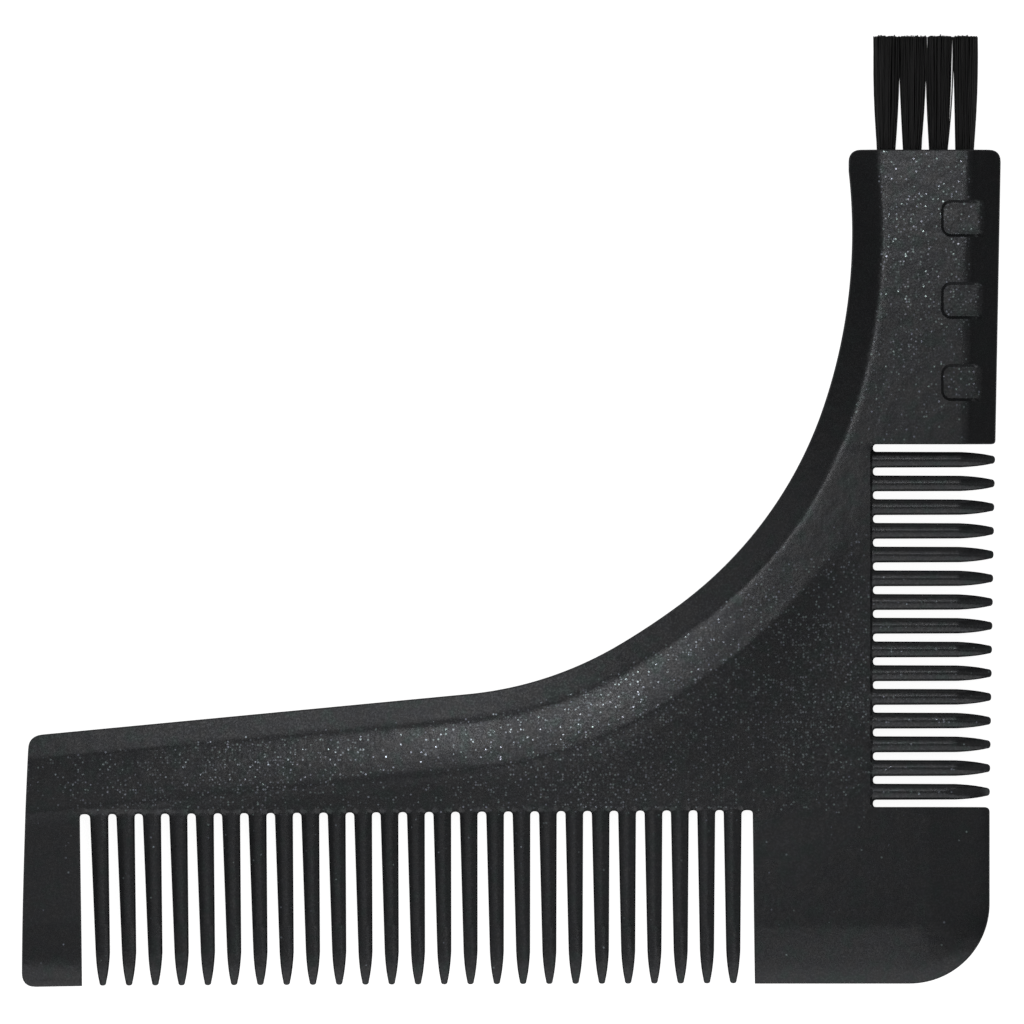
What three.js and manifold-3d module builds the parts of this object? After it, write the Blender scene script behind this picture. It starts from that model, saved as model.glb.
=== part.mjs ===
// A beard comb: an L-shaped moulding with coarse teeth along its lower arm, fine teeth and
// finger grips on its upright handle, and a small brush of four bristle tufts at the top.
//
// Units are millimetres. The comb lies flat: X runs along the lower arm, Y up the handle and
// Z through the thickness. Both faces are alike, mirrored about the mid-plane, so each relief
// cut is made once on each face. The origin is under the middle of the comb.

import * as THREE from "three";
import { mergeVertices } from "three/addons/utils/BufferGeometryUtils.js";
import Module from "manifold-3d";

const wasm = await Module();
wasm.setup();

// Thickness of the moulding, as heights above its mid-plane.
const HALF = 2.5;
const PLATE_HALF = 1.6;
const CUT_ROOF = HALF + 3;
const CUT_MARGIN = 0.5;
const ARM_OVERRUN = 9;

// Concave edge: the arm's straight edge, then arcs that turn up into the handle.
const BEND_START = new THREE.Vector2(-5.43, -22.83);
const ARM_HEADING = THREE.MathUtils.degToRad(5.43);
const BEND_ARCS = [
  { radius: 45.5, sweep: 25 },
  { radius: 86.4, sweep: 6.2 },
  { radius: 51.1, sweep: 34.4 },
  { radius: 67.8, sweep: 25.5 },
];
const BEND_STEP = 4;

// Outer bevel along the concave edge.
const EDGE_HALF = 1.25;
const BEND_BEVEL = 4;
const ARM_END_BEVEL = 3;

// Spine band, and the cove that drops from it to the thinner plate.
const SPINE_WIDTH = 9.2;
const COVE = [
  { offset: -0.5, drop: -0.22 },
  { offset: 1.6, drop: 0.62 },
  { offset: 4, drop: 1 },
  { offset: 70, drop: 1 },
];
const COVE_FADE_START = THREE.MathUtils.degToRad(42);
const COVE_FADE_END = THREE.MathUtils.degToRad(64);

// End guard at the arm's free end.
const GUARD_TOP_LEFT = new THREE.Vector2(-60.35, -28.05);
const GUARD_BOTTOM_LEFT = new THREE.Vector2(-61.15, -59.4);
const GUARD_BULGE = new THREE.Vector2(-61.05, -45);
const GUARD_BOTTOM_RIGHT = new THREE.Vector2(-53.66, -59.3);
const GUARD_SLOT_X = -53.98;
const GUARD_RADIUS = 1.7;

// Coarse teeth, counted from the guard.
const COARSE = {
  count: 25,
  firstRoot: -51.51,
  rootPitch: 3.299,
  firstTip: -51.05,
  tipPitch: 3.283,
  rootHalf: 1.1,
  kneeHalf: 0.87,
  tipHalf: 0.42,
  tipRound: 0.4,
  tipTaper: 4.1,
  slotRadius: 0.55,
  rootDepth: [37.8, 37.3],
  tipDepth: [59.25, 58.95],
};

// Fine teeth, counted from the corner block up to the handle.
const FINE = {
  count: 15,
  firstRoot: -35.03,
  rootPitch: 2.965,
  firstTip: -35.03,
  tipPitch: 2.965,
  rootHalf: 0.99,
  kneeHalf: 0.96,
  tipHalf: 0.52,
  tipRound: 0.5,
  tipTaper: 4.3,
  slotRadius: 0.45,
  rootDepth: [45.2, 45.2],
  tipDepth: [59.8, 60.45],
};
const FINE_STEP = 0.9;
const FINE_RIDGE_HALF = 1.5;
const FINE_FLANK_DROP = 0.6;
const FINE_TIP_HALF = 0.75;

// Corner block, and the bevel along the bottom that turns up around the corner.
const BLOCK_SLOT_X = 30.2;
const BLOCK_LEFT_X = 30.45;
const BLOCK_BOTTOM_Y = -59;
const BLOCK_RIGHT_X = 59.78;
const BLOCK_TOP_Y = -36.96;
const BLOCK_RADIUS = 10;
const BLOCK_TOP_RADIUS = 0.6;
const BOTTOM_BEVEL = 7.2;
const BOTTOM_EDGE_HALF = 0.75;
const CORNER_STEPS = 8;

// Handle.
const HANDLE_TOP_Y = 45.19;
const HANDLE_BOTTOM_Y = 8.41;
const HANDLE_RIGHT_TOP_X = 61.15;
const HANDLE_RIGHT_BOTTOM_X = 60.5;
const HANDLE_TOP_RADIUS = 1.5;
const HANDLE_BOTTOM_RADIUS = 0.5;
const RIGHT_BEVEL = 3.75;
const RIGHT_EDGE_HALF = 1;

// Finger-grip pockets, open through the handle's right bevel.
const POCKET_LEFT_X = 54;
const POCKET_CENTRES_Y = [36.6, 26.35, 16.1];
const POCKET_HEIGHT = 3.9;
const POCKET_RADIUS = 0.9;
const POCKET_DEPTH = 0.65;

// Brush: folded tufts, each held down in a blind hole by a flat wire anchor.
const TUFT_XS = [46.85, 50.12, 53.38, 56.65];
const TUFT_ROOT_RADIUS = 1.1;
const TUFT_TIP_RADIUS = 1.45;
const TUFT_FREE_LENGTH = 14.2;
const FIT_GAP = 0.3;
const HOLE_RADIUS = 1.36;
const HOLE_DEPTH = 6.2;
const HOLE_SIDES = 20;
const ANCHOR = { length: 2, height: 1.4, thickness: 0.35 };

const BLACK_PLASTIC = new THREE.MeshStandardMaterial({
  color: 0x2b2d2f,
  roughness: 0.5,
  metalness: 0.1,
});
const BLACK_NYLON = new THREE.MeshStandardMaterial({
  color: 0x121214,
  roughness: 0.45,
  metalness: 0,
});
const BRASS = new THREE.MeshStandardMaterial({
  color: 0xb08a4a,
  roughness: 0.35,
  metalness: 1,
});

/** Turns a closed geometry into a solid for joining and cutting. */
function toSolid(geometry) {
  const bare = geometry.clone();
  bare.deleteAttribute("normal");
  bare.deleteAttribute("uv");
  const merged = mergeVertices(bare, 1e-5);
  return new wasm.Manifold(new wasm.Mesh({
    numProp: 3,
    vertProperties: new Float32Array(merged.attributes.position.array),
    triVerts: new Uint32Array(merged.index.array),
  }));
}

/** Turns a solid back into a geometry with flat facets. */
function toGeometry(solid) {
  const mesh = solid.getMesh();
  const geometry = new THREE.BufferGeometry();
  geometry.setAttribute("position", new THREE.BufferAttribute(mesh.vertProperties, 3));
  geometry.setIndex(new THREE.BufferAttribute(mesh.triVerts, 1));
  geometry.computeVertexNormals();
  return geometry;
}

/** Value that runs from the first to the second entry of a pair as share goes from 0 to 1. */
function between([first, last], share) {
  return THREE.MathUtils.lerp(first, last, share);
}

/** Stations along the concave edge: a point, the heading, and the normal into the comb. */
function concaveStations() {
  const stations = [];
  const add = (point, heading) => stations.push({
    point: point.clone(),
    heading,
    inward: new THREE.Vector2(Math.sin(heading), -Math.cos(heading)),
  });
  let heading = ARM_HEADING;
  let point = BEND_START.clone();
  add(point, heading);
  for (const { radius, sweep } of BEND_ARCS) {
    const steps = Math.ceil(sweep / BEND_STEP);
    const turn = THREE.MathUtils.degToRad(sweep) / steps;
    for (let step = 0; step < steps; step += 1) {
      point = point.clone();
      point.x += radius * (Math.sin(heading + turn) - Math.sin(heading));
      point.y -= radius * (Math.cos(heading + turn) - Math.cos(heading));
      heading += turn;
      add(point, heading);
    }
  }
  return stations;
}

/** Traces one row of teeth. Point (along, depth) is placed in the comb's plane by place. */
function traceTeeth(shape, teeth, place, startAlong, endAlong) {
  const line = (along, depth) => shape.lineTo(...place(along, depth));
  const curve = (cornerAlong, cornerDepth, along, depth) => {
    shape.quadraticCurveTo(...place(cornerAlong, cornerDepth), ...place(along, depth));
  };
  const slotEnd = (from, to, depth) => {
    const middle = (from + to) / 2;
    line(from, depth + teeth.slotRadius);
    curve(from, depth, middle, depth);
    curve(to, depth, to, depth + teeth.slotRadius);
  };
  let slotStart = startAlong;
  for (let index = 0; index < teeth.count; index += 1) {
    const share = index / (teeth.count - 1);
    const root = teeth.firstRoot + teeth.rootPitch * index;
    const tip = teeth.firstTip + teeth.tipPitch * index;
    const tipDepth = between(teeth.tipDepth, share);
    const kneeDepth = tipDepth - teeth.tipTaper;
    slotEnd(slotStart, root - teeth.rootHalf, between(teeth.rootDepth, share));
    line(tip - teeth.kneeHalf, kneeDepth);
    line(tip - teeth.tipHalf, tipDepth - teeth.tipRound);
    curve(tip - teeth.tipHalf, tipDepth, tip, tipDepth);
    curve(tip + teeth.tipHalf, tipDepth, tip + teeth.tipHalf, tipDepth - teeth.tipRound);
    line(tip + teeth.kneeHalf, kneeDepth);
    slotStart = root + teeth.rootHalf;
  }
  slotEnd(slotStart, endAlong, teeth.rootDepth[1]);
}

/** The comb's outline, anticlockwise from the guard's bottom edge. */
function combOutline() {
  const shape = new THREE.Shape();
  shape.moveTo(GUARD_BOTTOM_LEFT.x + GUARD_RADIUS, GUARD_BOTTOM_LEFT.y);
  shape.lineTo(GUARD_BOTTOM_RIGHT.x, GUARD_BOTTOM_RIGHT.y);

  traceTeeth(shape, COARSE, (along, depth) => [along, -depth], GUARD_SLOT_X, BLOCK_SLOT_X);

  shape.lineTo(BLOCK_LEFT_X, BLOCK_BOTTOM_Y);
  shape.lineTo(BLOCK_RIGHT_X - BLOCK_RADIUS, BLOCK_BOTTOM_Y);
  shape.absarc(BLOCK_RIGHT_X - BLOCK_RADIUS, BLOCK_BOTTOM_Y + BLOCK_RADIUS, BLOCK_RADIUS,
    -Math.PI / 2, 0, false);
  shape.lineTo(BLOCK_RIGHT_X, BLOCK_TOP_Y - BLOCK_TOP_RADIUS);
  shape.quadraticCurveTo(BLOCK_RIGHT_X, BLOCK_TOP_Y,
    BLOCK_RIGHT_X - BLOCK_TOP_RADIUS, BLOCK_TOP_Y);

  traceTeeth(shape, FINE, (along, depth) => [depth, along], BLOCK_TOP_Y, HANDLE_BOTTOM_Y);

  shape.lineTo(HANDLE_RIGHT_BOTTOM_X - HANDLE_BOTTOM_RADIUS, HANDLE_BOTTOM_Y);
  shape.quadraticCurveTo(HANDLE_RIGHT_BOTTOM_X, HANDLE_BOTTOM_Y,
    HANDLE_RIGHT_BOTTOM_X, HANDLE_BOTTOM_Y + HANDLE_BOTTOM_RADIUS);
  shape.lineTo(HANDLE_RIGHT_TOP_X, HANDLE_TOP_Y - HANDLE_TOP_RADIUS);
  shape.quadraticCurveTo(HANDLE_RIGHT_TOP_X, HANDLE_TOP_Y,
    HANDLE_RIGHT_TOP_X - HANDLE_TOP_RADIUS, HANDLE_TOP_Y);

  const edge = concaveStations().reverse();
  const corner = new THREE.Vector2(edge[0].point.x, HANDLE_TOP_Y);
  shape.lineTo(corner.x + HANDLE_TOP_RADIUS, corner.y);
  shape.quadraticCurveTo(corner.x, corner.y, corner.x, corner.y - HANDLE_TOP_RADIUS);
  edge.forEach(({ point }) => shape.lineTo(point.x, point.y));

  shape.lineTo(GUARD_TOP_LEFT.x + GUARD_RADIUS,
    GUARD_TOP_LEFT.y + GUARD_RADIUS * Math.tan(ARM_HEADING));
  shape.quadraticCurveTo(GUARD_TOP_LEFT.x, GUARD_TOP_LEFT.y,
    GUARD_TOP_LEFT.x, GUARD_TOP_LEFT.y - GUARD_RADIUS);
  shape.quadraticCurveTo(GUARD_BULGE.x, GUARD_BULGE.y,
    GUARD_BOTTOM_LEFT.x, GUARD_BOTTOM_LEFT.y + GUARD_RADIUS);
  shape.quadraticCurveTo(GUARD_BOTTOM_LEFT.x, GUARD_BOTTOM_LEFT.y,
    GUARD_BOTTOM_LEFT.x + GUARD_RADIUS, GUARD_BOTTOM_LEFT.y);
  return shape;
}

/**
 * A cutting solid for one face. Its floor runs through the rails, which are equally long lists
 * of points, ordered so that each next rail lies to the right of the one before, and its roof
 * is level, above the comb.
 */
function reliefCutter(rails) {
  const rows = rails.length;
  const columns = rails[0].length;
  const positions = [];
  rails.forEach((rail) => rail.forEach((point) => positions.push(point.x, point.y, point.z)));
  rails.forEach((rail) => rail.forEach((point) => positions.push(point.x, point.y, CUT_ROOF)));
  const floor = (row, column) => row * columns + column;
  const roof = (row, column) => (rows + row) * columns + column;
  const indices = [];
  const quad = (a, b, c, d) => indices.push(a, b, c, a, c, d);
  for (let row = 0; row < rows - 1; row += 1) {
    for (let column = 0; column < columns - 1; column += 1) {
      const next = column + 1;
      quad(floor(row, column), floor(row, next), floor(row + 1, next), floor(row + 1, column));
      quad(roof(row, column), roof(row + 1, column), roof(row + 1, next), roof(row, next));
    }
    quad(floor(row, 0), floor(row + 1, 0), roof(row + 1, 0), roof(row, 0));
    const end = columns - 1;
    quad(floor(row, end), roof(row, end), roof(row + 1, end), floor(row + 1, end));
  }
  for (let column = 0; column < columns - 1; column += 1) {
    const next = column + 1;
    const last = rows - 1;
    quad(floor(0, column), roof(0, column), roof(0, next), floor(0, next));
    quad(floor(last, column), floor(last, next), roof(last, next), roof(last, column));
  }
  const geometry = new THREE.BufferGeometry();
  geometry.setAttribute("position", new THREE.Float32BufferAttribute(positions, 3));
  geometry.setIndex(indices);
  return toSolid(geometry);
}

/** Cutter for a sloping bevel: a straight fall across width, from innerHalf to edgeHalf. */
function bevelCutter(stations, innerHalf, edgeHalf) {
  const rail = (inside) => stations.map(({ point, inward, width }) => {
    const slope = (innerHalf - edgeHalf) / width;
    const offset = inside ? width + CUT_MARGIN : -CUT_MARGIN;
    return new THREE.Vector3(
      point.x + inward.x * offset,
      point.y + inward.y * offset,
      edgeHalf + slope * offset,
    );
  });
  return reliefCutter([rail(false), rail(true)]);
}

/** The concave edge's stations, with one before them past the straight arm's free end. */
function spineStations() {
  const stations = concaveStations();
  const armEnd = { ...stations[0], point: stations[0].point.clone() };
  const reach = armEnd.point.x - GUARD_BOTTOM_LEFT.x + ARM_OVERRUN;
  armEnd.point.x -= reach;
  armEnd.point.y -= reach * Math.tan(ARM_HEADING);
  return [armEnd, ...stations];
}

/** Bevel along the concave edge, a little narrower at the arm's free end. */
function concaveBevel() {
  const stations = spineStations().map((station, index) => ({
    ...station,
    width: index === 0 ? ARM_END_BEVEL : BEND_BEVEL,
  }));
  const last = stations[stations.length - 1];
  const past = { ...last, point: last.point.clone() };
  past.point.y = HANDLE_TOP_Y + 1;
  return bevelCutter([...stations, past], HALF, EDGE_HALF);
}

/** Cove under the spine band and the flat plate past it, fading out towards the handle. */
function coveAndPlate() {
  const stations = spineStations().filter(({ heading }) => heading < COVE_FADE_END);
  const rails = COVE.map(({ offset, drop }) => stations.map(({ point, inward, heading }) => {
    const fade = 1 - THREE.MathUtils.smoothstep(heading, COVE_FADE_START, COVE_FADE_END);
    const distance = SPINE_WIDTH + offset;
    return new THREE.Vector3(
      point.x + inward.x * distance,
      point.y + inward.y * distance,
      HALF - drop * (HALF - PLATE_HALF) * fade,
    );
  }));
  return reliefCutter(rails);
}

/** Bevel along the bottom edge, round the corner and up the block's right side. */
function bottomBevel() {
  const station = (x, y, angle) => ({
    point: new THREE.Vector2(x, y),
    inward: new THREE.Vector2(-Math.cos(angle), -Math.sin(angle)),
    width: BOTTOM_BEVEL,
  });
  const centreX = BLOCK_RIGHT_X - BLOCK_RADIUS;
  const centreY = BLOCK_BOTTOM_Y + BLOCK_RADIUS;
  const stations = [station(GUARD_BOTTOM_LEFT.x - 1, BLOCK_BOTTOM_Y, -Math.PI / 2)];
  for (let step = 0; step <= CORNER_STEPS; step += 1) {
    const angle = -Math.PI / 2 + (Math.PI / 2) * (step / CORNER_STEPS);
    stations.push(station(
      centreX + BLOCK_RADIUS * Math.cos(angle),
      centreY + BLOCK_RADIUS * Math.sin(angle),
      angle,
    ));
  }
  stations.push(station(BLOCK_RIGHT_X, BLOCK_TOP_Y + 0.4, 0));
  return bevelCutter(stations.reverse(), PLATE_HALF, BOTTOM_EDGE_HALF);
}

/** Bevel down the handle's right side. */
function handleBevel() {
  const station = (x, y) => ({
    point: new THREE.Vector2(x, y),
    inward: new THREE.Vector2(-1, 0),
    width: RIGHT_BEVEL,
  });
  const stations = [
    station(HANDLE_RIGHT_TOP_X, HANDLE_TOP_Y + 1),
    station(HANDLE_RIGHT_BOTTOM_X, HANDLE_BOTTOM_Y - 0.4),
  ];
  return bevelCutter(stations, HALF, RIGHT_EDGE_HALF);
}

/** Step down to the fine teeth, which are ridged along their middles and thin at their tips. */
function fineToothRelief() {
  const rootX = FINE.rootDepth[0];
  const kneeX = FINE.tipDepth[0] - FINE.tipTaper;
  const sections = [
    { x: rootX - FINE_STEP, ridge: HALF + 0.05, drop: 0 },
    { x: rootX, ridge: FINE_RIDGE_HALF, drop: FINE_FLANK_DROP },
    { x: kneeX, ridge: FINE_RIDGE_HALF, drop: FINE_FLANK_DROP },
    { x: FINE.tipDepth[1] + CUT_MARGIN, ridge: FINE_TIP_HALF, drop: FINE_FLANK_DROP / 2 },
  ];
  const heights = [];
  for (let index = FINE.count - 1; index >= 0; index -= 1) {
    const ridgeY = FINE.firstRoot + FINE.rootPitch * index;
    heights.push({ y: ridgeY + FINE.rootPitch / 2, valley: true });
    heights.push({ y: ridgeY, valley: false });
  }
  heights.push({ y: FINE.firstRoot - FINE.rootPitch / 2, valley: true });
  const rails = sections.map(({ x, ridge, drop }) => heights.map(({ y, valley }) => (
    new THREE.Vector3(x, y, valley ? ridge - drop : ridge)
  )));
  return reliefCutter(rails.reverse());
}

/** One finger-grip pocket, rounded at its left end and open past the handle's right edge. */
function pocketCutter(centreY) {
  const top = centreY + POCKET_HEIGHT / 2;
  const bottom = centreY - POCKET_HEIGHT / 2;
  const openX = HANDLE_RIGHT_TOP_X + 1;
  const shape = new THREE.Shape();
  shape.moveTo(openX, bottom);
  shape.lineTo(openX, top);
  shape.lineTo(POCKET_LEFT_X + POCKET_RADIUS, top);
  shape.quadraticCurveTo(POCKET_LEFT_X, top, POCKET_LEFT_X, top - POCKET_RADIUS);
  shape.lineTo(POCKET_LEFT_X, bottom + POCKET_RADIUS);
  shape.quadraticCurveTo(POCKET_LEFT_X, bottom, POCKET_LEFT_X + POCKET_RADIUS, bottom);
  const floor = HALF - POCKET_DEPTH;
  const depth = CUT_ROOF - floor;
  const geometry = new THREE.ExtrudeGeometry(shape, {
    depth,
    bevelEnabled: false,
    curveSegments: 4,
  });
  geometry.translate(0, 0, floor);
  return toSolid(geometry);
}

/** Blind hole for one tuft. */
function tuftHole(x) {
  const length = HOLE_DEPTH + 1;
  const geometry = new THREE.CylinderGeometry(HOLE_RADIUS, HOLE_RADIUS, length, HOLE_SIDES);
  geometry.translate(x, HANDLE_TOP_Y - HOLE_DEPTH + length / 2, 0);
  return toSolid(geometry);
}

/** The comb's one-piece moulding. */
function combBody() {
  const blank = new THREE.ExtrudeGeometry(combOutline(), {
    depth: 2 * HALF,
    bevelEnabled: false,
    curveSegments: 3,
  });
  blank.translate(0, 0, -HALF);
  const faceCutters = [
    concaveBevel(),
    coveAndPlate(),
    bottomBevel(),
    handleBevel(),
    fineToothRelief(),
    ...POCKET_CENTRES_Y.map(pocketCutter),
  ];
  let body = toSolid(blank);
  for (const cutter of faceCutters) {
    body = body.subtract(cutter).subtract(cutter.mirror([0, 0, 1]));
  }
  for (const x of TUFT_XS) {
    body = body.subtract(tuftHole(x));
  }
  return new THREE.Mesh(toGeometry(body), BLACK_PLASTIC);
}

/** One tuft: a round bundle that flares to its cut ends, folded around its anchor. */
function tuft() {
  const root = FIT_GAP - HOLE_DEPTH;
  const profile = [
    new THREE.Vector2(0, root),
    new THREE.Vector2(TUFT_ROOT_RADIUS - 0.3, root),
    new THREE.Vector2(TUFT_ROOT_RADIUS, root + 0.3),
    new THREE.Vector2(TUFT_ROOT_RADIUS, 0),
    new THREE.Vector2(TUFT_TIP_RADIUS, TUFT_FREE_LENGTH - 0.2),
    new THREE.Vector2(TUFT_TIP_RADIUS - 0.2, TUFT_FREE_LENGTH),
    new THREE.Vector2(0, TUFT_FREE_LENGTH),
  ];
  const bundle = toSolid(new THREE.LatheGeometry(profile, 16));
  const window = new THREE.BoxGeometry(
    4 * TUFT_ROOT_RADIUS,
    ANCHOR.height + 2 * FIT_GAP,
    ANCHOR.thickness + 2 * FIT_GAP,
  );
  window.translate(0, anchorHeight(), 0);
  return new THREE.Mesh(toGeometry(bundle.subtract(toSolid(window))), BLACK_NYLON);
}

/** Height of the anchor's middle, measured from the handle's top face. */
function anchorHeight() {
  return 3 * FIT_GAP - HOLE_DEPTH + ANCHOR.height / 2 + 0.4;
}

/** Flat wire anchor across one tuft's fold. */
function anchor() {
  return new THREE.Mesh(
    new THREE.BoxGeometry(ANCHOR.length, ANCHOR.height, ANCHOR.thickness),
    BRASS,
  );
}

const comb = new THREE.Group();
comb.position.z = HALF;

const body = combBody();
body.name = "comb_body";
comb.add(body);

TUFT_XS.forEach((x, index) => {
  const bristles = tuft();
  bristles.name = `bristle_tuft_${index + 1}`;
  bristles.position.set(x, HANDLE_TOP_Y, 0);
  comb.add(bristles);

  const pin = anchor();
  pin.name = `tuft_anchor_${index + 1}`;
  pin.position.set(x, HANDLE_TOP_Y + anchorHeight(), 0);
  comb.add(pin);
});

export default comb;
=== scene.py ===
import math
import random

import bpy
import bmesh
import numpy as np
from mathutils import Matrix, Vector
from mathutils.geometry import delaunay_2d_cdt


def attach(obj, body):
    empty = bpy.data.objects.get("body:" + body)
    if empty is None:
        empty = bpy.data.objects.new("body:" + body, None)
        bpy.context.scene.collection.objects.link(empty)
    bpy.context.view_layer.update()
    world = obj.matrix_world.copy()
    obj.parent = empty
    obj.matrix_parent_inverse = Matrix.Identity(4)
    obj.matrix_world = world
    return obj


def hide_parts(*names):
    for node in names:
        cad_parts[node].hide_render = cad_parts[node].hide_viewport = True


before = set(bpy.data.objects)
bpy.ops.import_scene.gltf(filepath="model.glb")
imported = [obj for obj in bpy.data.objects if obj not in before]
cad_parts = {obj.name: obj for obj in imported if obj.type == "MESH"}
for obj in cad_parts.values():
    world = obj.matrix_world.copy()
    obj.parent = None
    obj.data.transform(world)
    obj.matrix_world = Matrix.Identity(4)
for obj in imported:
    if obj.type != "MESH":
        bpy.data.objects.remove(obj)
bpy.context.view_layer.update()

# One millimetre in metres.
MM = 0.001

# The comb, in millimetres, in its own frame: first its half thickness, at the spine and
# in the thinner plate, and its mid-plane's height.
HALF = 2.5
PLATE_HALF = 1.6
MID_Z = HALF

# The concave shaping edge: a straight arm, then arcs of a radius and a sweep in degrees.
# Distances are measured from a path that runs on past both of its ends.
BEND_START = (-5.43, -22.83)
ARM_HEADING = math.radians(5.43)
BEND_ARCS = ((45.5, 25.0), (86.4, 6.2), (51.1, 34.4), (67.8, 25.5))
BEND_STEP = math.radians(0.6)
ARM_REACH = 70.0
HANDLE_OVERRUN = 3.0

# The guard at the arm's left end.
GUARD_TOP_LEFT = (-60.35, -28.05)
GUARD_BULGE = (-61.05, -45.0)
GUARD_BOTTOM_LEFT = (-61.15, -59.4)
GUARD_BOTTOM_RIGHT = (-53.66, -59.3)
GUARD_SLOT_X = -53.98
GUARD_RADIUS = 1.7
GUARD_BULGE_STEPS = 16

# The block at the comb's corner.
BLOCK_SLOT_X = 30.2
BLOCK_LEFT_X = 30.45
BLOCK_BOTTOM_Y = -59.0
BLOCK_RIGHT_X = 59.78
BLOCK_TOP_Y = -36.96
BLOCK_RADIUS = 10.0
BLOCK_TOP_RADIUS = 0.6
BOTTOM_LEFT_OVERRUN = 5.0
BLOCK_TOP_OVERRUN = 1.0

# The handle.
HANDLE_TOP_Y = 45.19
HANDLE_BOTTOM_Y = 8.41
HANDLE_RIGHT_TOP_X = 61.15
HANDLE_RIGHT_BOTTOM_X = 60.5
HANDLE_TOP_RADIUS = 1.5
HANDLE_BOTTOM_RADIUS = 0.5

# Relief of each face, as heights above the mid-plane, drops from it and distances from an
# edge. First the concave edge's bevel, and the spine and cove behind it.
EDGE_HALF = 1.25
BEND_BEVEL = 3.2
HANDLE_LEFT_BEVEL = 3.8
BEVEL_GROWTH = (math.radians(30), math.radians(60))
ARM_END_BEVEL = 3.0
SPINE_WIDTH = 9.2
COVE_LENGTH = 4.2
COVE_LENGTH_BEND = 5.5
COVE_GROWTH = (math.radians(8), math.radians(35))
COVE_FADE = (math.radians(42), math.radians(64))
SPINE_DROP = 0.32
SPINE_FADE = (math.radians(24), math.radians(52))
SPINE_LEAN_POWER = 1.5

# The bevels down the handle's right side and along the bottom.
RIGHT_EDGE_HALF = 1.0
RIGHT_BEVEL = 3.75
RIGHT_BEVEL_MARGIN = 0.3
BOTTOM_BEVEL = 7.2
BOTTOM_CREASE_DROP = 0.5
BOTTOM_EDGE_DROP = 0.45
BOTTOM_EDGE_POWER = 4
CREASE_ROUND = 0.12
EDGE_CHAMFER = 0.14

# The fine teeth's step and ridges.
FINE_STEP_START = 0.4
FINE_STEP_LENGTH = 0.3
FINE_ROW_MARGIN = 0.2
FINE_RIDGE_HALF = 1.5
FINE_RIDGE_ROUND = 0.9
FINE_RIDGE_LINES = (-0.5, -0.25, 0.0, 0.25, 0.5)
FINE_RIDGE_END = 0.4
FINE_FLANK_DROP = 0.85
FINE_TIP_FLATTENING = 0.5
FINE_TIP_HALF = 1.05

# The coarse teeth's step and crowns.
COARSE_LENGTH = 20.0
COARSE_CROWN = 0.2
COARSE_STEP_DROP = 0.02
COARSE_STEP_START = 0.35
COARSE_STEP_LENGTH = 0.3
COARSE_LINE_CLOSING = 0.8
COARSE_CROWN_LINES = (-0.6, -0.3, 0.0, 0.3, 0.6)

# How a tooth's outline swells on its way to the tip.
TAPER_SWELL = 0.25
TAPER_MIDDLE = 0.45

# The moulding's mesh: a staggered grid, with closer points along the relief's creases.
# ONLY_INSIDE tells the triangulation to keep what lies inside the outline.
GRID = 0.55
GRID_ROW_RATIO = 0.866
GRID_MARGIN = 1.0
GRID_CLEARANCE = 0.4
CREASE_STEP = 0.3
ONLY_INSIDE = 1
DELAUNAY_GAP = 1e-6
MERGE_GAP = 1e-7
INSET_LEAST_COSINE = 0.5
MOULDING_SHARP = math.radians(32)

# The three finger-grip pockets.
POCKET_LEFT_X = 54.0
POCKET_CENTRES_Y = (36.6, 26.35, 16.1)
POCKET_HEIGHT = 3.9
POCKET_RADIUS = 0.9
POCKET_CORNER_STEPS = 6
POCKET_DEPTH = 0.65
POCKET_WALL = 0.36
POCKET_RINGS = (-0.12, 0.0, POCKET_WALL, POCKET_WALL + 0.12)

# The four tufts, their blind holes and their filaments.
TUFT_XS = (46.85, 50.12, 53.38, 56.65)
HOLE_RADIUS = 1.22
HOLE_DEPTH = 6.2
HOLE_SIDES = 32
HOLE_OVERRUN = 1.0
FILAMENTS = 150
FILAMENT_RADIUS = 0.085
FILAMENT_SIDES = 6
FILAMENT_STEPS = 8
FILAMENT_START = 1.2
FILAMENT_SEED = 7
FILAMENT_SHARP = math.radians(50)
GOLDEN_ANGLE = math.pi * (3 - math.sqrt(5))
TUFT_ROOT_RADIUS = 1.1
TUFT_TIP_HALF_X = (1.56, 1.66, 1.62, 1.44)
TUFT_TIP_SHIFT_X = (0.04, 0.06, 0.14, 0.12)
TUFT_TIP_HALF_Z = 1.35
TUFT_FREE_LENGTH = 14.15
TIP_JITTER_X = 0.12
TIP_JITTER_Z = 0.1
LENGTH_SPREAD = 0.09
BOW = 0.12

# Materials. Texture scales are per metre, and bump heights are in metres.
NOISE_MIDDLE = (0.3, 0.7)
BLACK = (0.0, 0.0, 0.0, 1)

# Black plastic.
PLASTIC_IOR = 1.58
PLASTIC_COLOURS = ((0.0145, 0.0147, 0.0158, 1), (0.021, 0.0214, 0.023, 1))
MOTTLE_SCALE = 900.0
MOTTLE_DETAIL = 3.0
SATIN_SCALE = 60.0
SATIN_ROUGHNESS = (0.24, 0.29)
GRAIN_SCALE = 2600.0
GRAIN_SHARE = 0.7
SCRATCH_STRETCH = (140.0, 900.0, 900.0)
SCRATCH_DETAIL = 3.0
SCRATCH_SHARE = 0.3
GRAIN_HEIGHT = 0.00002
WAVE_SCALE = 420.0
WAVE_HEIGHT = 0.00008
RELIEF_STRENGTH = 0.5

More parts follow.
